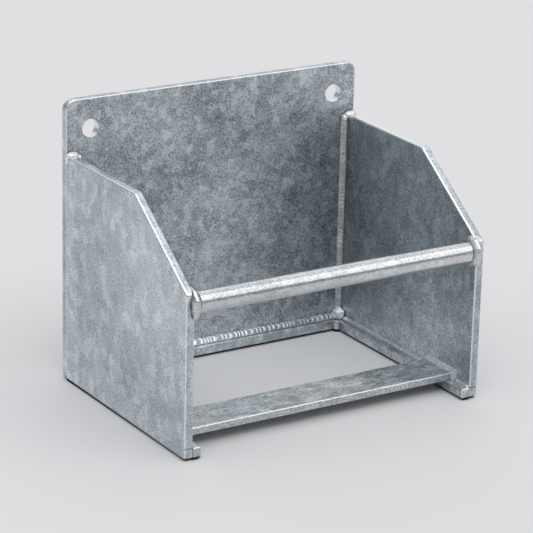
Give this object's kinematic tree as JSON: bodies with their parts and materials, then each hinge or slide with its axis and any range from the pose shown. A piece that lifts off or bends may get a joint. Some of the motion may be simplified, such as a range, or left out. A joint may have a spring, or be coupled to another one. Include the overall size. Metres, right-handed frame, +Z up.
{
  "type": "welded wall bracket holder",
  "caption": "Galvanised welded steel wall holder: back plate with bolt holes, sloped side plates, front round bar, flat bar and a ledge round its open base.",
  "frame": {"origin": "on the floor at the middle of the footprint", "axes": "+Z up, +Y towards the wall, +X to the right seen from the front"},
  "size_m": [0.22, 0.1652, 0.19],
  "materials": {
    "galvanised_plate": "hot-dip galvanised, mottled",
    "galvanised_bar": "hot-dip galvanised, mottled",
    "galvanised_strip": "hot-dip galvanised, mottled",
    "weld_bead": "galvanised weld, rippled"
  },
  "bodies": {
    "root": {"back_ledge_strip": "galvanised_strip", "back_ledge_weld": "weld_bead", "back_plate": "galvanised_plate", "flat_bar": "galvanised_bar", "left_corner_lobe": "weld_bead", "left_corner_weld": "weld_bead", "left_flat_bar_weld": "weld_bead", "left_foot_weld": "weld_bead", "left_ledge_strip": "galvanised_strip", "left_ledge_weld": "weld_bead", "left_round_bar_weld": "weld_bead", "left_side_plate": "galvanised_plate", "left_strip_weld": "weld_bead", "left_top_weld": "weld_bead", "right_corner_lobe": "weld_bead", "right_corner_weld": "weld_bead", "right_flat_bar_weld": "weld_bead", "right_foot_weld": "weld_bead", "right_ledge_strip": "galvanised_strip", "right_ledge_weld": "weld_bead", "right_round_bar_weld": "weld_bead", "right_side_plate": "galvanised_plate", "right_strip_weld": "weld_bead", "right_top_weld": "weld_bead", "round_bar": "galvanised_bar"}
  },
  "joints": []
}
